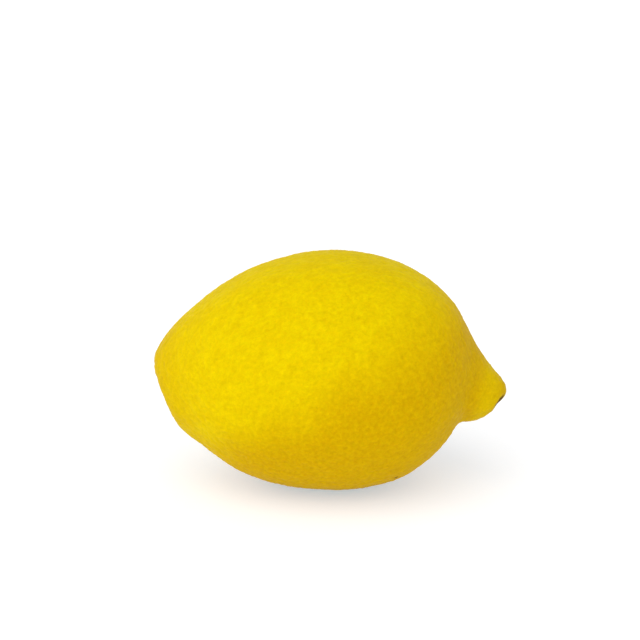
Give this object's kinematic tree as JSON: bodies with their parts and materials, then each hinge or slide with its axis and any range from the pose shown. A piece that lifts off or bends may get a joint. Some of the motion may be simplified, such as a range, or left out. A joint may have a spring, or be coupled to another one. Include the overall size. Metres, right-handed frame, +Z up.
{
  "type": "lemon",
  "caption": "Whole fresh lemon lying on its side, with a pored peel, a nipple at one end and a stem button sunk in a hollow at the other",
  "frame": {"origin": "the middle of the object's box, on the plane that the fruit rests on", "axes": "+X runs along the fruit from the stem end to the nipple, which is its longest extent, and +Z is up from the resting plane"},
  "size_m": [0.0904, 0.0614, 0.061],
  "materials": {
    "peel": "satin",
    "calyx": "matte"
  },
  "bodies": {
    "root": {"lemon": "peel", "stem_button": "calyx"}
  },
  "joints": []
}
